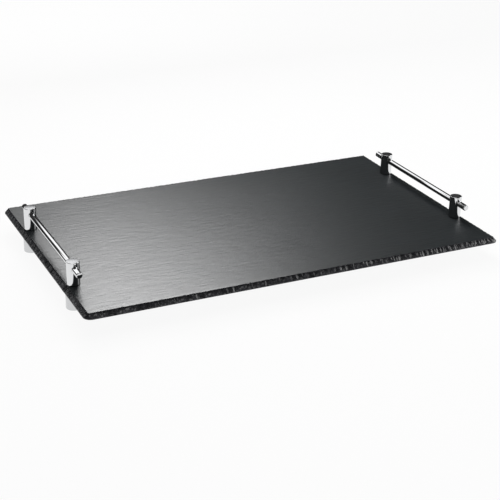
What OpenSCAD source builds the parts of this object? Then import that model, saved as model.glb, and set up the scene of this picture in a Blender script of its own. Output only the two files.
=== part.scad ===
// Serving tray: a slate-look melamine board on four feet, with a rod handle on two posts at each short side.
// Frame: +X along the long side, +Y to the back, +Z up, origin on the table under the middle of the board.

/* [Board] */
// Length of the board along its underside
board_length = 530; // [400:1:600]
// Width of the board along its underside
board_width = 325; // [260:1:400]
// Thickness of the board
board_thickness = 6; // [5:0.5:12]
// Height of the board's underside above the table
board_height = 23.5; // [20:0.5:30]
// How far the sloping edge runs in from bottom to top
edge_slope = 5; // [2:0.5:6]
// Radius of the board's corners at the underside
corner_radius = 9; // [7:0.5:14]

/* [Handles] */
// Distance between the left and right posts
post_spacing_x = 504; // [360:1:560]
// Distance between the front and back posts of one handle
post_spacing_y = 167; // [120:1:240]
// Diameter of a post
post_diameter = 15; // [13:0.5:18]
// Height of a post above its gasket
post_height = 27.6; // [26:0.2:36]
// Bevel around the top of a post
post_bevel = 0.5; // [0.2:0.1:1]
// Diameter of a handle rod
rod_diameter = 7.5; // [6:0.5:9]
// Length of a handle rod
rod_length = 214; // [180:1:300]
// Height of the rod's axis above the top of the board
rod_rise = 20; // [19.5:0.5:22]
// Bevel at the ends of a rod
rod_bevel = 0.8; // [0.2:0.1:1.5]

/* [Feet] */
// Diameter of a foot
foot_diameter = 19; // [17:0.5:22]
// Bevel around both ends of a foot
foot_bevel = 0.5; // [0.2:0.1:1]
// Diameter of the rubber pad let into the foot
pad_diameter = 14; // [13:0.5:15]
// Thickness of the rubber pad
pad_thickness = 2.6; // [2:0.2:4]
// How far the pad stands out below the foot
pad_proud = 0.6; // [0.2:0.1:1]

/* [Fixings] */
// Thread diameter of the clamp screws and grub screws
thread_diameter = 5; // [4:0.5:5]
// Length of a clamp screw under its head
clamp_screw_length = 25; // [24:1:26]
// Diameter of a clamp screw's head
screw_head_diameter = 8.5; // [8:0.1:9]
// Height of a clamp screw's head
screw_head_height = 4; // [3:0.5:5]
// Outside diameter of the washer under the screw head
washer_diameter = 10; // [9.5:0.1:11]
// Thickness of the washer under the screw head
washer_thickness = 1; // [0.5:0.1:1.2]
// Length of a grub screw
grub_length = 6; // [5:0.5:6]
// Thickness of the gasket under a post
gasket_thickness = 0.4; // [0.2:0.1:0.6]
// Diameter of the gasket under a post
gasket_diameter = 14; // [12:0.5:15]

/* [Hidden] */
$fn = 96;
thread_clearance = 0.1;
hole_clearance = 0.5;
rod_clearance = 0.1;
pad_clearance = 0.2;
grub_gap = 0.02;
cut_margin = 1;
clamp_hex = 4;
clamp_hex_depth = 2.5;
grub_hex = 2.5;
grub_hex_depth = 2.5;
counterbore_diameter = 12;

board_top = board_height + board_thickness;
post_base = board_top + gasket_thickness;
rod_axis = board_top + rod_rise;
tapped_diameter = thread_diameter + thread_clearance;
clear_diameter = thread_diameter + hole_clearance;
shoulder_height = 14;
head_seat = shoulder_height - washer_thickness;
pad_recess_top = pad_thickness;
grub_top = rod_axis - rod_diameter / 2 - grub_gap;

// Name and side of each post and of everything stacked below it
CORNERS = [
    ["left_front", -1, -1],
    ["left_back", -1, 1],
    ["right_front", 1, -1],
    ["right_back", 1, 1],
];
STACK = ["post", "grub_screw", "post_gasket", "clamp_screw", "screw_washer", "foot", "foot_pad"];
RODS = [["rod_left", -1], ["rod_right", 1]];

module at_corner(corner) {
    translate([corner[1] * post_spacing_x / 2, corner[2] * post_spacing_y / 2, 0]) children();
}

// Hexagonal socket with its mouth at the given height, cut upwards
module hex_socket(mouth, across_flats, depth) {
    translate([0, 0, mouth - cut_margin])
        cylinder(d = across_flats / cos(30), h = depth + cut_margin, $fn = 6);
}

// Turned bar standing on the given height, bevelled at the bottom and at the top
module turned_bar(base, diameter, height, bottom_bevel, top_bevel) {
    radius = diameter / 2;
    rotate_extrude()
        polygon([
            [0, base],
            [radius - bottom_bevel, base],
            [radius, base + bottom_bevel],
            [radius, base + height - top_bevel],
            [radius - top_bevel, base + height],
            [0, base + height],
        ]);
}

// Ridge with a sloping edge on two sides, lying along X and centred on it
module sloped_bar(length, width) {
    rotate([90, 0, 90])
        linear_extrude(height = length, center = true)
            polygon([
                [-width / 2, 0],
                [width / 2, 0],
                [width / 2 - edge_slope, board_thickness],
                [-width / 2 + edge_slope, board_thickness],
            ]);
}

module board() {
    straight_x = board_length - 2 * corner_radius;
    straight_y = board_width - 2 * corner_radius;
    color("#43474a")
        difference() {
            translate([0, 0, board_height]) {
                sloped_bar(straight_x, board_width);
                rotate([0, 0, 90]) sloped_bar(straight_y, board_length);
                for (x = [-1, 1], y = [-1, 1])
                    translate([x * straight_x / 2, y * straight_y / 2, 0])
                        cylinder(r1 = corner_radius, r2 = corner_radius - edge_slope, h = board_thickness);
            }
            for (corner = CORNERS)
                at_corner(corner)
                    translate([0, 0, board_height - cut_margin])
                        cylinder(d = clear_diameter, h = board_thickness + 2 * cut_margin);
        }
}

module rod() {
    color("#d9dbdc")
        translate([0, 0, rod_axis])
            rotate([90, 0, 0])
                turned_bar(-rod_length / 2, rod_diameter, rod_length, rod_bevel, rod_bevel);
}

module post() {
    color("#d9dbdc")
        difference() {
            turned_bar(post_base, post_diameter, post_height, 0, post_bevel);
            translate([0, 0, post_base - cut_margin])
                cylinder(d = tapped_diameter, h = rod_axis - post_base + cut_margin);
            translate([0, 0, rod_axis])
                rotate([90, 0, 0])
                    cylinder(d = rod_diameter + rod_clearance, h = post_diameter + 2 * cut_margin, center = true);
        }
}

module grub_screw() {
    color("#6f7375")
        difference() {
            translate([0, 0, grub_top - grub_length]) cylinder(d = thread_diameter, h = grub_length);
            hex_socket(grub_top - grub_length, grub_hex, grub_hex_depth);
        }
}

module post_gasket() {
    color("#1c1d1e")
        difference() {
            translate([0, 0, board_top]) cylinder(d = gasket_diameter, h = gasket_thickness);
            translate([0, 0, board_top - cut_margin])
                cylinder(d = clear_diameter, h = gasket_thickness + 2 * cut_margin);
        }
}

module clamp_screw() {
    color("#8d9193")
        difference() {
            union() {
                translate([0, 0, head_seat]) cylinder(d = thread_diameter, h = clamp_screw_length);
                translate([0, 0, head_seat - screw_head_height])
                    cylinder(d = screw_head_diameter, h = screw_head_height);
            }
            hex_socket(head_seat - screw_head_height, clamp_hex, clamp_hex_depth);
        }
}

module screw_washer() {
    color("#a5a9ab")
        difference() {
            translate([0, 0, head_seat]) cylinder(d = washer_diameter, h = washer_thickness);
            translate([0, 0, head_seat - cut_margin])
                cylinder(d = clear_diameter, h = washer_thickness + 2 * cut_margin);
        }
}

module foot() {
    color("#d9dbdc")
        difference() {
            turned_bar(pad_proud, foot_diameter, board_height - pad_proud, foot_bevel, foot_bevel);
            cylinder(d = clear_diameter, h = board_height + cut_margin);
            cylinder(d = counterbore_diameter, h = shoulder_height);
            cylinder(d = pad_diameter + pad_clearance, h = pad_recess_top);
        }
}

module foot_pad() {
    color("#242525") cylinder(d = pad_diameter, h = pad_thickness);
}

board();
for (side = RODS)
    translate([side[1] * post_spacing_x / 2, 0, 0]) rod();
for (corner = CORNERS) {
    at_corner(corner) post();
    at_corner(corner) grub_screw();
    at_corner(corner) post_gasket();
    at_corner(corner) clamp_screw();
    at_corner(corner) screw_washer();
    at_corner(corner) foot();
    at_corner(corner) foot_pad();
}
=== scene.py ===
"""Slate-look melamine serving tray with rod handles: the visible pieces, modelled around the fixed frame."""

import math
import random

import bpy
import numpy as np
from mathutils import Matrix, Vector


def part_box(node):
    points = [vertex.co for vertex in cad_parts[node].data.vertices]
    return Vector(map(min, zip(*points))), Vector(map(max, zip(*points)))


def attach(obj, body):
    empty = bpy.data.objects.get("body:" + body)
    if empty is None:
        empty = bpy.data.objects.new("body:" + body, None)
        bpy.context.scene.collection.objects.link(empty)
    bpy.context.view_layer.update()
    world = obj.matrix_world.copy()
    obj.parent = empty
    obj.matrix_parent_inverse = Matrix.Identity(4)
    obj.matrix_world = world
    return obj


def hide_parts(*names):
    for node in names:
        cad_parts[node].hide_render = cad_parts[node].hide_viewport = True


bl_info = {
    "name": "Slate tray with rod handles",
    "version": (1, 0, 0),
    "blender": (4, 5, 0),
    "location": "View3D > Sidebar > Tray",
    "description": "Models a slate-look serving tray, its handles, feet and studio",
    "category": "Object",
}

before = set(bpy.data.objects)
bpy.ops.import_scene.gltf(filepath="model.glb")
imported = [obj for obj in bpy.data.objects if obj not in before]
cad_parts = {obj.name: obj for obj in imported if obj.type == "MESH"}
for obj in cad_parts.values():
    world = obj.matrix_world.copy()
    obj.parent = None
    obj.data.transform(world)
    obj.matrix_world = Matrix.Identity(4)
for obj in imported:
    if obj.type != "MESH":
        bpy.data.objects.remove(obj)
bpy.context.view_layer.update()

MM = 0.001
BODY = "root"
CORNERS = ("left_front", "left_back", "right_front", "right_back")

# Lengths that differ by less than this count as equal
TOLERANCE = 0.01 * MM

# Radius of the holes for the clamp screws, in the board and in the feet
SCREW_HOLE = 2.75 * MM

# Widest angle between two faces that is still shaded smooth
TURNED_SMOOTH = math.radians(32)
BOARD_SMOOTH = math.radians(38)

MELAMINE_IOR = 1.58

# Collection of what the back panel lights: the board and the floor
SHEEN_LIT = "lit_by_back_panel"


def linear_colour(code):
    """Turns an sRGB hex code into a linear colour with full alpha."""
    channels = [int(code[i:i + 2], 16) / 255 for i in (1, 3, 5)]
    return [c / 12.92 if c <= 0.04045 else ((c + 0.055) / 1.055) ** 2.4 for c in channels] + [1.0]


def length(name, description, millimetres):
    """A length property with its default given in millimetres."""
    return bpy.props.FloatProperty(
        name=name, description=description, default=millimetres * MM, unit="LENGTH", precision=5
    )


def angle(name, description, degrees):
    """An angle property with its default given in degrees."""
    return bpy.props.FloatProperty(
        name=name, description=description, default=math.radians(degrees), subtype="ANGLE"
    )


def colour(name, description, code):
    """A colour property with its default given as an sRGB hex code."""
    return bpy.props.FloatVectorProperty(
        name=name, description=description, default=linear_colour(code), size=4, subtype="COLOR", min=0, max=1
    )


class TrayBoardSettings(bpy.types.PropertyGroup):
    """Sizes and colours of the melamine board."""

    corner_radius: length("Corner radius", "Radius of the corners along the underside", 9)
    top_radius: length("Top corner radius", "Radius of the corners along the top", 1.2)
    lip_height: length("Lip height", "Upright strip at the foot of the sloping edge", 1)
    edge_slope: length("Edge slope", "How far the edge runs in from bottom to top", 5)
    chip_narrow: length("Small chip", "Usual width of the small chips along the edge", 2.6)
    chip_wide: length("Large chip", "Usual width of the large chips along the edge", 6.5)
    chip_depth: length("Chip depth", "Depth of the deepest chip", 1.0)
    ripple_height: length("Ripple height", "Height of the long ripples on top", 0.06)
    slate_dark: colour("Dark slate", "Darker tone of the board", "#191e1f")
    slate_light: colour("Light slate", "Lighter tone of the board", "#202528")
    edge_dark: colour("Dark edge", "Tone of the chipped edge", "#202124")
    # Paler tone for the ridges between chips: a painted highlight standing in for glints on the chips
    edge_painted_highlight: colour("Light edge", "Tone of the ridges between chips", "#4c4b52")


class TrayFittingSettings(bpy.types.PropertyGroup):
    """Finish of the posts, rods, feet and fixings."""

    post_round: length("Post rounding", "Radius around the top of a post", 0.6)
    rod_round: length("Rod rounding", "Radius around the ends of a rod", 1.0)
    foot_round: length("Foot rounding", "Radius around both ends of a foot", 0.6)
    chrome: colour("Chrome", "Reflected tone of the chrome plate", "#e2e3e4")
    # A darker copy of the chrome for the feet: painted shade for the shade under the board
    foot_chrome_painted_shade: colour("Foot chrome", "Reflected tone of the feet", "#cfd0d1")
    chrome_faced: colour("Faced chrome", "Reflected tone of the satin tops of the posts", "#dcdddf")
    zinc: colour("Zinc", "Reflected tone of the zinc-plated fixings", "#a9adb0")
    rubber: colour("Rubber", "Tone of the pads and gaskets", "#232424")


class TrayStageSettings(bpy.types.PropertyGroup):
    """Camera and floor of the studio."""

    azimuth: angle("Azimuth", "Turn of the camera around the tray, to the right", -26.0995)
    elevation: angle("Elevation", "Height angle of the camera", 24.3582)
    roll: angle("Roll", "Lean of the camera", 1.4126)
    distance: length("Distance", "From the camera to its aim", 1453.375)
    aim: bpy.props.FloatVectorProperty(
        name="Aim", description="Point at the middle of the picture",
        default=(-26.809 * MM, -65.308 * MM, 23.5 * MM), size=3, subtype="TRANSLATION"
    )
    lens: bpy.props.FloatProperty(
        name="Lens", description="Focal length on a 36 mm wide picture, in mm", default=87.603
    )
    floor: colour("Floor", "Colour of the studio floor", "#f4f4f4")


def deselect_all():
    """Goes back to object mode with nothing selected."""
    if bpy.context.object and bpy.context.object.mode != "OBJECT":
        bpy.ops.object.mode_set(mode="OBJECT")
    bpy.ops.object.select_all(action="DESELECT")


def make_active(piece):
    """Selects one object alone and makes it active."""
    deselect_all()
    piece.select_set(True)
    bpy.context.view_layer.objects.active = piece


def select_edges_in_edit(piece, test):
    """Goes to edit mode with only the edges that pass the test selected."""
    make_active(piece)
    bpy.ops.object.mode_set(mode="EDIT")
    bpy.ops.mesh.select_mode(type="EDGE")
    bpy.ops.mesh.select_all(action="DESELECT")
    bpy.ops.object.mode_set(mode="OBJECT")
    for edge in piece.data.edges:
        edge.select = test(edge)
    bpy.ops.object.mode_set(mode="EDIT")


def finish_piece(piece, name, replaced, materials):
    """Names a finished piece, gives it its materials and ties it to the frame."""
    deselect_all()
    piece.name = name
    piece.data.name = name
    for material in materials:
        piece.data.materials.append(material)
    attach(piece, BODY)
    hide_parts(*replaced)


def add_node(tree, kind, inputs=None, **settings):
    """Adds a node, sets its properties, and fills its inputs with values or with other nodes' outputs."""
    node = tree.nodes.new(kind)
    for key, value in settings.items():
        setattr(node, key, value)
    for key, value in (inputs or {}).items():
        if isinstance(value, bpy.types.NodeSocket):
            tree.links.new(value, node.inputs[key])
        else:
            node.inputs[key].default_value = value
    return node


def new_material(name):
    """An empty node material."""
    material = bpy.data.materials.new(name)
    material.use_nodes = True
    material.node_tree.nodes.clear()
    return material, material.node_tree


def per_size(millimetres):
    """Texture scale at which one cell of a pattern is that many millimetres wide."""
    return 1 / (millimetres * MM)


def slate_face(board):
    """Press-moulded slate-look melamine: a satin resin skin with fine cleavage lines along the board.

    The real lines and grit are finer than a pixel, so both are drawn as coarse as they need to show.
    """
    material, tree = new_material("slate_melamine_pressed")
    place = add_node(tree, "ShaderNodeTexCoord").outputs["Object"]
    along = add_node(tree, "ShaderNodeMapping", {"Vector": place, "Scale": (0.2, 1, 1)}).outputs["Vector"]
    line = add_node(
        tree, "ShaderNodeTexNoise", {"Vector": along, "Scale": per_size(3.1), "Detail": 2, "Roughness": 0.45}
    ).outputs["Fac"]
    grit = add_node(
        tree, "ShaderNodeTexNoise", {"Vector": place, "Scale": per_size(1.2), "Detail": 2, "Roughness": 0.5}
    ).outputs["Fac"]
    cloud = add_node(
        tree, "ShaderNodeTexNoise", {"Vector": along, "Scale": per_size(22), "Detail": 3}
    ).outputs["Fac"]
    tone = add_node(
        tree, "ShaderNodeMix",
        {"Factor": cloud, "A": board.slate_dark, "B": board.slate_light}, data_type="RGBA",
    )
    gloss = add_node(
        tree, "ShaderNodeMapRange",
        {"Value": line, "From Min": 0.3, "From Max": 0.7, "To Min": 0.345, "To Max": 0.385},
    ).outputs["Result"]
    lines = add_node(
        tree, "ShaderNodeBump", {"Height": line, "Strength": 1.0, "Distance": 0.25 * MM}
    ).outputs["Normal"]
    relief = add_node(
        tree, "ShaderNodeBump", {"Height": grit, "Strength": 0.4, "Distance": 0.02 * MM, "Normal": lines}
    ).outputs["Normal"]
    shader = add_node(
        tree, "ShaderNodeBsdfPrincipled",
        {"Base Color": tone.outputs["Result"], "Roughness": gloss, "IOR": MELAMINE_IOR, "Normal": relief},
    )
    add_node(tree, "ShaderNodeOutputMaterial", {"Surface": shader.outputs["BSDF"]})
    return material


def slate_edge(board):
    """The same melamine as a knapped slate edge: glossier than the top, with paler ridges in upright strokes
    as a painted highlight.
    """
    material, tree = new_material("slate_melamine_chipped_edge")
    place = add_node(tree, "ShaderNodeTexCoord").outputs["Object"]
    upright = add_node(tree, "ShaderNodeMapping", {"Vector": place, "Scale": (1, 1, 0.3)}).outputs["Vector"]
    strokes = add_node(
        tree, "ShaderNodeTexNoise", {"Vector": upright, "Scale": per_size(2.2), "Detail": 2, "Roughness": 0.5}
    ).outputs["Fac"]
    ridge = add_node(tree, "ShaderNodeAttribute", attribute_name="ridge").outputs["Fac"]
    pale = add_node(
        tree, "ShaderNodeMapRange",
        {"Value": strokes, "From Min": 0.45, "From Max": 0.75, "To Min": 0.15, "To Max": 1.0},
    ).outputs["Result"]
    # The paler strokes on the ridges are a painted highlight
    amount = add_node(tree, "ShaderNodeMath", {0: ridge, 1: pale}, operation="MULTIPLY").outputs["Value"]
    tone = add_node(
        tree, "ShaderNodeMix",
        {"Factor": amount, "A": board.edge_dark, "B": board.edge_painted_highlight}, data_type="RGBA",
    )
    relief = add_node(
        tree, "ShaderNodeBump", {"Height": strokes, "Strength": 0.8, "Distance": 0.3 * MM}
    ).outputs["Normal"]
    shader = add_node(
        tree, "ShaderNodeBsdfPrincipled",
        {"Base Color": tone.outputs["Result"], "Roughness": 0.27, "IOR": MELAMINE_IOR, "Normal": relief},
    )
    add_node(tree, "ShaderNodeOutputMaterial", {"Surface": shader.outputs["BSDF"]})
    return material


def slate_back(board):
    """The underside of the moulding: the same melamine, even and matt from the tool face.

    Its grain is finer in reality, and is drawn coarse enough to show.
    """
    material, tree = new_material("slate_melamine_underside")
    place = add_node(tree, "ShaderNodeTexCoord").outputs["Object"]
    grain = add_node(
        tree, "ShaderNodeTexNoise", {"Vector": place, "Scale": per_size(2.5), "Detail": 4, "Roughness": 0.6}
    ).outputs["Fac"]
    tone = add_node(
        tree, "ShaderNodeMix",
        {"Factor": grain, "A": board.slate_dark, "B": board.slate_light}, data_type="RGBA",
    )
    relief = add_node(
        tree, "ShaderNodeBump", {"Height": grain, "Strength": 0.6, "Distance": 0.05 * MM}
    ).outputs["Normal"]
    shader = add_node(
        tree, "ShaderNodeBsdfPrincipled",
        {"Base Color": tone.outputs["Result"], "Roughness": 0.55, "IOR": MELAMINE_IOR, "Normal": relief},
    )
    add_node(tree, "ShaderNodeOutputMaterial", {"Surface": shader.outputs["BSDF"]})
    return material


def metal_finish(name, tint, smooth, rough, patch_mm):
    """A plated metal: full reflection, with a faint haze of polishing marks in its gloss.

    Single marks are too fine to show, so the haze is drawn in patches of the given width.
    """
    material, tree = new_material(name)
    place = add_node(tree, "ShaderNodeTexCoord").outputs["Object"]
    haze = add_node(
        tree, "ShaderNodeTexNoise",
        {"Vector": place, "Scale": per_size(patch_mm), "Detail": 4, "Roughness": 0.6},
    ).outputs["Fac"]
    gloss = add_node(
        tree, "ShaderNodeMapRange",
        {"Value": haze, "From Min": 0.3, "From Max": 0.7, "To Min": smooth, "To Max": rough},
    ).outputs["Result"]
    shader = add_node(
        tree, "ShaderNodeBsdfPrincipled", {"Base Color": tint, "Metallic": 1.0, "Roughness": gloss}
    )
    add_node(tree, "ShaderNodeOutputMaterial", {"Surface": shader.outputs["BSDF"]})
    return material


def chrome_plate(fitting):
    """Bright chrome plate on turned steel, polished: mirror reflections, hardly any haze."""
    return metal_finish("chrome_plate_polished", fitting.chrome, smooth=0.03, rough=0.07, patch_mm=3)


def chrome_plate_feet(fitting):
    """Chrome plate on the turned feet, less finely polished than the handles, with a soft shine; its tone is
    darker than the handles' chrome as painted shade for the shade under the board.
    """
    return metal_finish("chrome_plate_turned", fitting.foot_chrome_painted_shade, smooth=0.12, rough=0.2, patch_mm=2)


def chrome_plate_faced(fitting):
    """Chrome plate over a faced end: the fine turning marks below it leave a satin shine."""
    return metal_finish(
        "chrome_plate_over_turned_face", fitting.chrome_faced, smooth=0.24, rough=0.3, patch_mm=1.5
    )


def zinc_plate(fitting):
    """Zinc plate on machined fixings: a soft grey shine."""
    return metal_finish("zinc_plate_machined", fitting.zinc, smooth=0.28, rough=0.45, patch_mm=0.8)


def moulded_rubber(fitting):
    """Moulded rubber: matt black with a pebbled skin, drawn coarser than the real one so that it shows."""
    material, tree = new_material("rubber_moulded")
    place = add_node(tree, "ShaderNodeTexCoord").outputs["Object"]
    pebble = add_node(
        tree, "ShaderNodeTexNoise", {"Vector": place, "Scale": per_size(0.8), "Detail": 3}
    ).outputs["Fac"]
    relief = add_node(
        tree, "ShaderNodeBump", {"Height": pebble, "Strength": 0.5, "Distance": 0.05 * MM}
    ).outputs["Normal"]
    gloss = add_node(
        tree, "ShaderNodeMapRange", {"Value": pebble, "To Min": 0.6, "To Max": 0.85}
    ).outputs["Result"]
    shader = add_node(
        tree, "ShaderNodeBsdfPrincipled", {"Base Color": fitting.rubber, "Roughness": gloss, "Normal": relief}
    )
    add_node(tree, "ShaderNodeOutputMaterial", {"Surface": shader.outputs["BSDF"]})
    return material


def shared(maker, settings):
    """Makes a material once and hands the same one to every piece of that finish."""
    key = f"tray_{maker.__name__}"
    found = [m for m in bpy.data.materials if m.get("tray_finish") == key]
    if found:
        return found[0]
    material = maker(settings)
    material["tray_finish"] = key
    return material


def node_centre(name):
    """Middle of a CAD node's box."""
    low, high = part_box(name)
    return (low + high) / 2


def turn_profile(profile, steps=96):
    """Lathes a list of (radius, height) points around the Z axis into one mesh object."""
    deselect_all()
    bpy.ops.mesh.primitive_plane_add(size=MM, location=(0, 0, 0))
    piece = bpy.context.object
    bpy.ops.object.mode_set(mode="EDIT")
    bpy.ops.mesh.select_mode(type="VERT")
    bpy.ops.mesh.select_all(action="SELECT")
    bpy.ops.mesh.merge(type="CENTER")
    bpy.ops.transform.translate(value=(profile[0][0], 0, profile[0][1]))
    for (radius, height), (next_radius, next_height) in zip(profile, profile[1:]):
        step = (next_radius - radius, 0, next_height - height)
        bpy.ops.mesh.extrude_vertices_move(TRANSFORM_OT_translate={"value": step})
    bpy.ops.mesh.select_all(action="SELECT")
    bpy.ops.mesh.spin(steps=steps, angle=2 * math.pi, center=(0, 0, 0), axis=(0, 0, 1))
    bpy.ops.mesh.select_all(action="SELECT")
    bpy.ops.mesh.remove_doubles(threshold=0.002 * MM)
    bpy.ops.mesh.normals_make_consistent(inside=False)
    bpy.ops.object.mode_set(mode="OBJECT")
    bpy.ops.object.shade_smooth_by_angle(angle=TURNED_SMOOTH)
    return piece


def rounded_corner(corner_radius, corner_height, size, turn_from, segments=5):
    """Points of a quarter round inside a profile corner, from one given angle to a quarter turn later."""
    centre_r = corner_radius - size
    centre_h = corner_height - size if turn_from == 0 else corner_height + size
    points = []
    for i in range(segments + 1):
        turn = turn_from + math.pi / 2 * i / segments
        points.append((centre_r + size * math.cos(turn), centre_h + size * math.sin(turn)))
    return points


def cut_round_hole(piece, radius, place, direction, depth):
    """Drills a round hole through a piece with a boolean cut."""
    deselect_all()
    turn = Vector((0, 0, 1)).rotation_difference(Vector(direction)).to_euler()
    bpy.ops.mesh.primitive_cylinder_add(
        vertices=64, radius=radius, depth=depth, location=place, rotation=turn
    )
    drill = bpy.context.object
    make_active(piece)
    cut = piece.modifiers.new("hole", "BOOLEAN")
    cut.operation = "DIFFERENCE"
    cut.solver = "EXACT"
    cut.object = drill
    bpy.ops.object.modifier_apply(modifier=cut.name)
    bpy.data.objects.remove(drill)


def stand_at_first_corner(piece, node_name):
    """Moves a piece that was turned around the Z axis to the first corner's node, in its mesh."""
    centre = node_centre(f"{node_name}_{CORNERS[0]}")
    piece.data.transform(Matrix.Translation((centre.x, centre.y, 0)))


def copy_to_corners(piece, node_name, slot, *materials):
    """Places one copy of a turned piece, each with its own mesh, where each corner's node stands."""
    first = node_centre(f"{node_name}_{CORNERS[0]}")
    for corner in CORNERS:
        offset = node_centre(f"{node_name}_{corner}") - first
        copy = piece.copy()
        copy.data = piece.data.copy()
        bpy.context.scene.collection.objects.link(copy)
        copy.data.transform(Matrix.Translation((offset.x, offset.y, 0)))
        finish_piece(copy, f"{node_name}_{corner}_piece", [f"{node_name}_{corner}"], materials)
    bpy.data.objects.remove(piece)


def board_outline_place(points, half_x, half_y, radius):
    """Where points near the board's edge lie along its outline, and which way is outward there.

    The distance runs once around the board, from the front-left.
    """
    straight = np.array([half_x - radius, half_y - radius])
    core = np.clip(points[:, :2], -straight, straight)
    outward = points[:, :2] - core
    outward = outward / np.maximum(np.linalg.norm(outward, axis=1), 1e-9)[:, None]
    slack = 0.01
    turn = np.mod(np.arctan2(outward[:, 1], outward[:, 0]) + math.pi / 2 + slack, 2 * math.pi) - slack
    first_half = (core + straight).sum(axis=1)
    second_half = 2 * straight.sum() + (straight - core).sum(axis=1)
    walked = np.where(turn > math.pi - slack, second_half, first_half)
    return walked + radius * turn, outward


class TRAY_OT_board(bpy.types.Operator):
    """Model the slate-look board with its chipped, sloping edge"""

    bl_idname = "tray.board"
    bl_label = "Board"

    def execute(self, context):
        settings = context.scene.tray_board
        low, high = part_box("board")
        board = self.base_shape(settings, low, high)
        self.ripple_top(board, settings, high.z)
        self.chip_edge(board, settings, low, high)
        drill_length = 20 * MM
        for corner in CORNERS:
            screw = node_centre(f"clamp_screw_{corner}")
            middle = (screw.x, screw.y, (low.z + high.z) / 2)
            cut_round_hole(board, SCREW_HOLE, middle, (0, 0, 1), drill_length)
        finish_piece(
            board, "board_piece", ["board"],
            [shared(slate_face, settings), shared(slate_edge, settings), shared(slate_back, settings)],
        )
        self.paint_faces(board, high.z)
        bpy.data.collections[SHEEN_LIT].objects.link(board)
        make_active(board)
        bpy.ops.object.shade_smooth_by_angle(angle=BOARD_SMOOTH)
        return {"FINISHED"}

    def base_shape(self, settings, low, high):
        """A plate with round corners, an upright lip, a sloping edge and an even grid of faces."""
        rings = 9
        deselect_all()
        bpy.ops.mesh.primitive_plane_add(size=1, location=(0, 0, low.z))
        board = bpy.context.object
        board.scale = (high.x - low.x, high.y - low.y, 1)
        bpy.ops.object.transform_apply(location=True, rotation=True, scale=True)
        bpy.ops.object.mode_set(mode="EDIT")
        bpy.ops.mesh.select_mode(type="VERT")
        bpy.ops.mesh.select_all(action="SELECT")
        bpy.ops.mesh.bevel(offset=settings.corner_radius, segments=12, affect="VERTICES")
        bpy.ops.mesh.select_mode(type="FACE")
        bpy.ops.mesh.select_all(action="SELECT")
        bpy.ops.mesh.extrude_region_move(TRANSFORM_OT_translate={"value": (0, 0, settings.lip_height)})
        rise = (high.z - low.z - settings.lip_height) / rings
        for _ in range(rings):
            bpy.ops.mesh.inset(thickness=settings.edge_slope / rings, depth=0)
            bpy.ops.transform.translate(value=(0, 0, rise))
        bpy.ops.object.mode_set(mode="OBJECT")
        self.sharpen_corners(board, settings, low, high)
        self.divide_faces(board, settings, high)
        return board

    def sharpen_corners(self, board, settings, low, high):
        """Draws the corner rounding in from its full radius at the bottom to a tight one at the top."""
        radius = settings.corner_radius
        rise = high.z - low.z - settings.lip_height
        for vertex in board.data.vertices:
            place = vertex.co
            climb = max(0, (place.z - low.z - settings.lip_height) / rise)
            out = Vector((abs(place.x) - high.x + radius, abs(place.y) - high.y + radius))
            ring = radius - settings.edge_slope * climb
            tight = radius + (settings.top_radius - radius) * climb
            spot = out.normalized() * tight + Vector((ring - tight, ring - tight))
            place.x = math.copysign(high.x - radius + spot.x, place.x)
            place.y = math.copysign(high.y - radius + spot.y, place.y)

    def divide_faces(self, board, settings, high):
        """Cuts the long edges short, and finer on the sloping edge, for its chips."""
        margin = 0.5 * MM
        inner = [high[i] - settings.edge_slope - margin for i in (0, 1)]

        def on_slope(point):
            return max(abs(point.x) - inner[0], abs(point.y) - inner[1]) > 0

        for axis in (0, 1):
            self.split_long_edges(board, axis, longer_than=200 * MM, cuts=100)
        self.split_long_edges(board, 1, longer_than=2 * MM, cuts=1)
        self.split_long_edges(board, 0, longer_than=2 * MM, cuts=9, where=on_slope)
        self.split_long_edges(board, 1, longer_than=1.2 * MM, cuts=2, where=on_slope)

    def split_long_edges(self, board, axis, longer_than, cuts, where=lambda point: True):
        """Subdivides the edges along one axis that are longer than a given length, where both ends pass."""
        vertices = board.data.vertices

        def test(edge):
            a, b = (vertices[i].co for i in edge.vertices)
            across = max(abs(a[i] - b[i]) for i in range(3) if i != axis)
            return abs(a[axis] - b[axis]) > longer_than and across < TOLERANCE and where(a) and where(b)

        select_edges_in_edit(board, test)
        bpy.ops.mesh.subdivide(number_cuts=cuts)
        bpy.ops.object.mode_set(mode="OBJECT")

    def ripple_top(self, board, settings, top):
        """Raises long shallow ripples, as on split slate, over the top with a displacement."""
        ripple_width = 9 * MM
        stretch_along = 14
        group = board.vertex_groups.new(name="top")
        group.add([v.index for v in board.data.vertices if v.co.z > top - TOLERANCE], 1.0, "REPLACE")
        deselect_all()
        bpy.ops.object.empty_add(location=(0, 0, 0))
        axes = bpy.context.object
        axes.scale = (stretch_along, 1, 1)
        texture = bpy.data.textures.new("slate_ripple", "CLOUDS")
        texture.noise_scale = ripple_width
        texture.noise_depth = 2
        make_active(board)
        lift = board.modifiers.new("ripple", "DISPLACE")
        lift.texture = texture
        lift.texture_coords = "OBJECT"
        lift.texture_coords_object = axes
        lift.direction = "Z"
        lift.mid_level = 0.5
        lift.strength = settings.ripple_height
        lift.vertex_group = group.name
        bpy.ops.object.modifier_apply(modifier=lift.name)
        bpy.data.objects.remove(axes)

    def chip_edge(self, board, settings, low, high):
        """Knaps the sloping edge: neighbouring scoops of uneven width, meeting in ridges."""
        mesh = board.data
        points = np.zeros(len(mesh.vertices) * 3)
        mesh.vertices.foreach_get("co", points)
        points = points.reshape(-1, 3)
        along, outward = board_outline_place(points, high.x, high.y, settings.corner_radius)
        inset = np.minimum(high.x - np.abs(points[:, 0]), high.y - np.abs(points[:, 1]))
        rise = high.z - low.z - settings.lip_height
        climb = np.clip((points[:, 2] - low.z - settings.lip_height) / rise, 0, 1)

        # The slope below the top, and of the top only its rim
        near_top = 0.95
        rim = 0.05 * MM
        on_edge = (climb > 0) & ((climb < near_top) | (inset < settings.edge_slope + rim))
        depth = self.flake_depth(settings, along, climb) * on_edge

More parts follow.
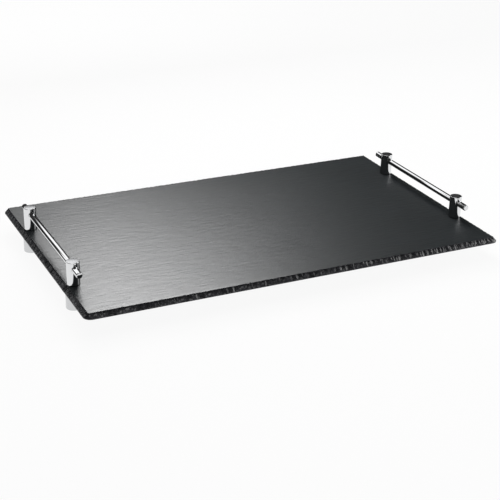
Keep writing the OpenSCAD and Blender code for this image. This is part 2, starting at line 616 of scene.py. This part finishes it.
        tilt = math.atan2(settings.edge_slope, rise)
        points[:, :2] -= outward * (depth * math.cos(tilt))[:, None]
        points[:, 2] -= depth * math.sin(tilt)
        mesh.vertices.foreach_set("co", points.ravel())

        # How much of a ridge a point is: 1 where nothing was knapped off, 0 from half the full depth. The
        # edge material paints the ridges paler, as a painted highlight.
        ridge = mesh.attributes.new("ridge", "FLOAT", "POINT")
        share = np.where(on_edge, 1 - np.clip(depth / (0.5 * settings.chip_depth), 0, 1), 0)
        ridge.data.foreach_set("value", share.astype(np.float32))
        mesh.update()

    def flake_depth(self, settings, along, climb):
        """Depth knapped off at each point, from its place along the outline and its climb up the slope."""
        seed = 11
        reach = 0.55
        flare = 1.4
        run_in = 0.35
        shallow_from = 0.75
        shallow_by = 0.45
        draw = random.Random(seed)
        depth = np.zeros(len(along))
        # Two layers of flakes: usual width, share of the full depth, and how far the widths vary
        layers = ((settings.chip_wide, 1.0, 0.45), (settings.chip_narrow, 0.55, 0.7))
        for size, share, spread in layers:
            place = 0.0
            while place < along.max():
                width = size * draw.uniform(1 - spread, 1 + spread)
                deep = settings.chip_depth * share * draw.uniform(0.3, 1.0)
                start = draw.uniform(-0.3, 0.5)
                lean = draw.uniform(-1.5, 1.5) * MM
                place += width * draw.uniform(0.4, 0.6)
                across = np.abs(along - place - lean * (climb - 0.5)) / (width * reach)
                scoop = deep * np.maximum(0, 1 - across ** flare) * np.clip((climb - start) / run_in, 0, 1)
                depth = np.maximum(depth, scoop)
                place += width * draw.uniform(0.4, 0.6)
        return depth * (1 - shallow_by * np.clip((climb - shallow_from) / (1 - shallow_from), 0, 1))

    def paint_faces(self, board, top):
        """Face slots: 0 for the top, 1 for the chipped edge, 2 for the underside."""
        facing_down = -0.7
        facing_up = 0.97
        skin = 0.3 * MM
        for face in board.data.polygons:
            if face.normal.z < facing_down:
                face.material_index = 2
            elif face.normal.z > facing_up and face.center.z > top - skin:
                face.material_index = 0
            else:
                face.material_index = 1


class TRAY_OT_posts(bpy.types.Operator):
    """Turn the four handle posts and drill them for the rods"""

    bl_idname = "tray.posts"
    bl_label = "Posts"

    def execute(self, context):
        settings = context.scene.tray_fittings
        low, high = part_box("post_left_front")
        rod_low, rod_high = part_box("rod_left")
        radius = (high.x - low.x) / 2
        rod_axis = (rod_low.z + rod_high.z) / 2
        rod_clearance = 0.05 * MM
        rod_hole = (rod_high.x - rod_low.x) / 2 + rod_clearance
        bore = 2.55 * MM
        seat = 0.2 * MM
        profile = [(bore, rod_axis), (bore, low.z), (radius - seat, low.z), (radius, low.z + seat)]
        profile += rounded_corner(radius, high.z, settings.post_round, 0)
        profile += [(0, high.z)]
        post = turn_profile(profile)
        stand_at_first_corner(post, "post")
        centre = (low + high) / 2
        cut_round_hole(post, rod_hole, (centre.x, centre.y, rod_axis), (0, 1, 0), 4 * radius)
        make_active(post)
        bpy.ops.object.shade_smooth_by_angle(angle=TURNED_SMOOTH)
        for face in post.data.polygons:
            face.material_index = int(face.center.z > high.z - TOLERANCE)
        copy_to_corners(
            post, "post", "chrome_fittings",
            shared(chrome_plate, settings), shared(chrome_plate_faced, settings),
        )
        return {"FINISHED"}


class TRAY_OT_rods(bpy.types.Operator):
    """Turn the two handle rods with eased ends"""

    bl_idname = "tray.rods"
    bl_label = "Rods"

    def execute(self, context):
        settings = context.scene.tray_fittings
        for name in ("rod_left", "rod_right"):
            low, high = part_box(name)
            centre = (low + high) / 2
            radius = (high.x - low.x) / 2
            half = (high.y - low.y) / 2
            profile = [(0, -half)]
            profile += rounded_corner(radius, -half, settings.rod_round, -math.pi / 2)
            profile += rounded_corner(radius, half, settings.rod_round, 0)
            profile += [(0, half)]
            rod = turn_profile(profile, steps=72)
            rod.data.transform(Matrix.Translation(centre) @ Matrix.Rotation(math.pi / 2, 4, "X"))
            finish_piece(rod, f"{name}_piece", [name], [shared(chrome_plate, settings)])
        return {"FINISHED"}


class TRAY_OT_feet(bpy.types.Operator):
    """Turn the four feet with their screw wells and pad recesses"""

    bl_idname = "tray.feet"
    bl_label = "Feet"

    def execute(self, context):
        settings = context.scene.tray_fittings
        low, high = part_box("foot_left_front")
        pad_low, pad_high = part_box("foot_pad_left_front")
        washer_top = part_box("screw_washer_left_front")[1].z
        radius = (high.x - low.x) / 2
        pad_clearance = 0.1 * MM
        recess = (pad_high.x - pad_low.x) / 2 + pad_clearance
        well = 6 * MM
        profile = [(SCREW_HOLE, high.z), (SCREW_HOLE, washer_top), (well, washer_top), (well, pad_high.z)]
        profile += [(recess, pad_high.z), (recess, low.z)]
        profile += rounded_corner(radius, low.z, settings.foot_round, -math.pi / 2)
        profile += rounded_corner(radius, high.z, settings.foot_round, 0)
        profile += [(SCREW_HOLE, high.z)]
        foot = turn_profile(profile)
        stand_at_first_corner(foot, "foot")
        copy_to_corners(foot, "foot", "chrome_fittings", shared(chrome_plate_feet, settings))
        return {"FINISHED"}


class TRAY_OT_pads(bpy.types.Operator):
    """Turn the rubber pads with two grip rings on their underside"""

    bl_idname = "tray.pads"
    bl_label = "Foot pads"

    def execute(self, context):
        settings = context.scene.tray_fittings
        low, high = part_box("foot_pad_left_front")
        radius = (high.x - low.x) / 2
        edge_round = 0.4 * MM
        groove = 0.3 * MM
        grip_rings = (5.2 * MM, 3.2 * MM)
        profile = [(0, high.z), (radius, high.z)]
        profile += rounded_corner(radius, low.z, edge_round, -math.pi / 2)[::-1]
        for ring in grip_rings:
            profile += [(ring, low.z), (ring - groove, low.z + groove), (ring - 2 * groove, low.z)]
        profile += [(0, low.z)]
        pad = turn_profile(profile)
        stand_at_first_corner(pad, "foot_pad")
        copy_to_corners(pad, "foot_pad", "pad_rubber", shared(moulded_rubber, settings))
        return {"FINISHED"}


class TRAY_OT_fixings(bpy.types.Operator):
    """Give the screws, washers and gaskets their finishes"""

    bl_idname = "tray.fixings"
    bl_label = "Fixings"

    def execute(self, context):
        settings = context.scene.tray_fittings
        finishes = {
            "grub_screw": zinc_plate,
            "clamp_screw": zinc_plate,
            "screw_washer": zinc_plate,
            "post_gasket": moulded_rubber,
        }
        for piece, finish in finishes.items():
            for corner in CORNERS:
                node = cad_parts[f"{piece}_{corner}"]
                node.data.materials.clear()
                node.data.materials.append(shared(finish, settings))
        return {"FINISHED"}


class TRAY_OT_stage(bpy.types.Operator):
    """Set up the pale floor, the light panels, the soft lamps and the camera"""

    bl_idname = "tray.stage"
    bl_label = "Stage"

    def execute(self, context):
        settings = context.scene.tray_stage
        context.scene.view_settings.view_transform = "Standard"
        floor = self.floor(settings)
        self.world(context)
        # The sheen over the left half of the board
        back_panel = self.panel(
            "back_panel", depth=0.766, across=(-0.14, 0.48), upward=(0.25, 1.54), radiance=10.2,
            fades=(
                ((1, 0, 0), -0.126, 0.074),
                ((-1, 0, 0), -0.47, -0.4),
                ((-0.638, 1, 0), 0.37, 0.442),
            ),
        )
        sheen_lit = bpy.data.collections.new(SHEEN_LIT)
        sheen_lit.objects.link(floor)
        back_panel.light_linking.receiver_collection = sheen_lit
        # A broad light for the chrome, strongest in the left handle
        self.panel(
            "back_scrim", depth=2.0, across=(-1.0, 0.82), upward=(0.8, 2.4), radiance=1.25,
            fades=(
                ((1, 0, 0), -0.95, -0.75),
                ((-1, 0, 0), -0.8, -0.5),
                ((0, 1, 0), 0.82, 0.97),
            ),
        )
        # A small light for the highlights on the posts and rods
        self.panel(
            "left_scrim", depth=2.0, across=(-1.9, -0.9), upward=(0.7, 1.7), radiance=1.4,
            fades=(
                ((-0.8, 0.6, 0), 1.52, 1.62),
                ((1, 0, 0), -1.9, -1.6),
            ),
        )
        # The dark line along the rods
        self.black_card("back_card", depth=0.25, across=(-0.56, 0.25), height=0.055)
        # Even light from above, and glints along the right of the front edge
        self.softbox("overhead_softbox", place=(-0.3, 0, 2.2), aim=(0, 0, 0), size=1.8, radiance=1.7)
        self.softbox("right_softbox", place=(1.48, -0.28, 0.78), aim=(0.2, -0.16, 0), size=0.9, radiance=3.2)
        self.camera(context, settings)
        return {"FINISHED"}

    def floor(self, settings):
        """A wide studio floor, white to the camera but for the soft shadow, and clear from below."""
        glow_share = 0.93
        deselect_all()
        bpy.ops.mesh.primitive_circle_add(vertices=128, radius=9, fill_type="NGON", location=(0, 0, 0))
        floor = bpy.context.object
        floor.name = "studio_floor"
        material, tree = new_material("studio_paper")
        path = add_node(tree, "ShaderNodeLightPath").outputs
        seen = path["Is Camera Ray"]
        for ray in ("Is Glossy Ray", "Is Transmission Ray"):
            seen = add_node(
                tree, "ShaderNodeMath", {0: seen, 1: path[ray]}, operation="MAXIMUM"
            ).outputs["Value"]
        paper = add_node(tree, "ShaderNodeBsdfDiffuse", {"Color": settings.floor}).outputs["BSDF"]
        glow = add_node(
            tree, "ShaderNodeEmission", {"Color": (1, 1, 1, 1), "Strength": 1.0}
        ).outputs["Emission"]
        white = add_node(
            tree, "ShaderNodeMixShader", {"Fac": glow_share, 1: paper, 2: glow}
        ).outputs["Shader"]
        above = add_node(tree, "ShaderNodeMixShader", {"Fac": seen, 1: paper, 2: white}).outputs["Shader"]
        clear = add_node(tree, "ShaderNodeBsdfTransparent").outputs["BSDF"]
        below = add_node(tree, "ShaderNodeNewGeometry").outputs["Backfacing"]
        final = add_node(tree, "ShaderNodeMixShader", {"Fac": below, 1: above, 2: clear}).outputs["Shader"]
        add_node(tree, "ShaderNodeOutputMaterial", {"Surface": final})
        floor.data.materials.append(material)
        return floor

    def world(self, context):
        """A dim, even room."""
        grey = 0.035
        world = bpy.data.worlds.new("studio_room")
        world.use_nodes = True
        tree = world.node_tree
        tree.nodes.clear()
        room = add_node(tree, "ShaderNodeBackground", {"Color": (grey, grey, grey, 1), "Strength": 1.0})
        add_node(tree, "ShaderNodeOutputWorld", {"Surface": room.outputs["Background"]})
        context.scene.world = world

    def panel(self, name, depth, across, upward, radiance, fades):
        """An upright light panel behind the tray that fades smoothly towards its edges.

        Each fade gives a direction in the panel, and how far along it the light starts and is full.
        The panel lights only what is seen directly, and hides no other panel.
        """
        deselect_all()
        middle = ((across[0] + across[1]) / 2, (upward[0] + upward[1]) / 2, 0)
        bpy.ops.mesh.primitive_plane_add(size=1, location=middle)
        panel = bpy.context.object
        panel.name = name
        panel.scale = (across[1] - across[0], upward[1] - upward[0], 1)
        bpy.ops.object.transform_apply(location=True, rotation=True, scale=True)
        panel.rotation_euler = (math.radians(90), 0, 0)
        panel.location = (0, depth, 0)
        material, tree = new_material(f"{name}_light")
        place = add_node(tree, "ShaderNodeTexCoord").outputs["Object"]
        bounce = add_node(tree, "ShaderNodeLightPath").outputs["Ray Depth"]
        level = add_node(
            tree, "ShaderNodeMapRange",
            {"Value": bounce, "From Min": 1, "From Max": 2, "To Min": radiance, "To Max": 0},
        ).outputs["Result"]
        for direction, dark, full in fades:
            along = add_node(
                tree, "ShaderNodeVectorMath", {0: place, 1: direction}, operation="DOT_PRODUCT"
            ).outputs["Value"]
            fade = add_node(
                tree, "ShaderNodeMapRange", {"Value": along, "From Min": dark, "From Max": full},
                interpolation_type="SMOOTHSTEP",
            ).outputs["Result"]
            level = add_node(
                tree, "ShaderNodeMath", {0: fade, 1: level}, operation="MULTIPLY"
            ).outputs["Value"]
        light = add_node(
            tree, "ShaderNodeEmission", {"Color": (1, 1, 1, 1), "Strength": level}
        ).outputs["Emission"]
        clear = add_node(tree, "ShaderNodeBsdfTransparent").outputs["BSDF"]
        both = add_node(tree, "ShaderNodeAddShader", {0: light, 1: clear}).outputs["Shader"]
        add_node(tree, "ShaderNodeOutputMaterial", {"Surface": both})
        panel.data.materials.append(material)
        panel.visible_camera = False
        panel.visible_shadow = False
        return panel

    def black_card(self, name, depth, across, height):
        """A low black card that stands behind the tray and is seen only in reflections."""
        deselect_all()
        middle = ((across[0] + across[1]) / 2, depth, height / 2)
        bpy.ops.mesh.primitive_plane_add(size=1, location=middle, rotation=(math.radians(90), 0, 0))
        card = bpy.context.object
        card.name = name
        card.scale = (across[1] - across[0], height, 1)
        material, tree = new_material("matt_black_card")
        black = add_node(tree, "ShaderNodeBsdfDiffuse", {"Color": linear_colour("#101010")}).outputs["BSDF"]
        add_node(tree, "ShaderNodeOutputMaterial", {"Surface": black})
        card.data.materials.append(material)
        card.visible_camera = False
        card.visible_diffuse = False
        card.visible_shadow = False

    def softbox(self, name, place, aim, size, radiance):
        """A square soft lamp, its level given as the radiance of its face, where 1 is white."""
        deselect_all()
        turn = (Vector(aim) - Vector(place)).to_track_quat("-Z", "Y").to_euler()
        bpy.ops.object.light_add(type="AREA", location=place, rotation=turn)
        lamp = bpy.context.object
        lamp.name = name
        lamp.data.size = size
        lamp.data.energy = math.pi * size ** 2 * radiance
        lamp.visible_camera = False

    def camera(self, context, settings):
        """The camera at the photograph's viewing angle."""
        turn, lift, roll = settings.azimuth, settings.elevation, settings.roll
        back = Vector((math.sin(turn) * math.cos(lift), -math.cos(turn) * math.cos(lift), math.sin(lift)))
        flat = Vector((math.cos(turn), math.sin(turn), 0))
        rise = back.cross(flat)
        right = math.cos(roll) * flat + math.sin(roll) * rise
        up = math.cos(roll) * rise - math.sin(roll) * flat
        deselect_all()
        bpy.ops.object.camera_add(location=(0, 0, 0))
        camera = bpy.context.object
        pose = Matrix((right, up, back)).transposed().to_4x4()
        pose.translation = Vector(settings.aim) + back * settings.distance
        camera.matrix_world = pose
        camera.data.sensor_width = 36
        camera.data.lens = settings.lens
        camera.data.dof.use_dof = False
        context.scene.camera = camera


class VIEW3D_PT_tray(bpy.types.Panel):
    """Lists the steps that build the tray"""

    bl_label = "Slate tray"
    bl_idname = "VIEW3D_PT_tray"
    bl_space_type = "VIEW_3D"
    bl_region_type = "UI"
    bl_category = "Tray"

    def draw(self, context):
        for operator in OPERATORS:
            self.layout.operator(operator.bl_idname)


OPERATORS = (
    TRAY_OT_stage, TRAY_OT_board, TRAY_OT_posts, TRAY_OT_rods, TRAY_OT_feet, TRAY_OT_pads, TRAY_OT_fixings
)
SETTINGS = {
    "tray_board": TrayBoardSettings, "tray_fittings": TrayFittingSettings, "tray_stage": TrayStageSettings
}
CLASSES = (*SETTINGS.values(), *OPERATORS, VIEW3D_PT_tray)


def register():
    """Registers the classes and ties the settings to the scene."""
    for cls in CLASSES:
        bpy.utils.register_class(cls)
    for name, group in SETTINGS.items():
        setattr(bpy.types.Scene, name, bpy.props.PointerProperty(type=group))


def unregister():
    """Undoes register."""
    for name in SETTINGS:
        delattr(bpy.types.Scene, name)
    for cls in reversed(CLASSES):
        bpy.utils.unregister_class(cls)


def main():
    """Registers the tray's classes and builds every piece."""
    register()
    bpy.ops.tray.stage()
    bpy.ops.tray.board()
    bpy.ops.tray.posts()
    bpy.ops.tray.rods()
    bpy.ops.tray.feet()
    bpy.ops.tray.pads()
    bpy.ops.tray.fixings()


if __name__ == "__main__":
    main()
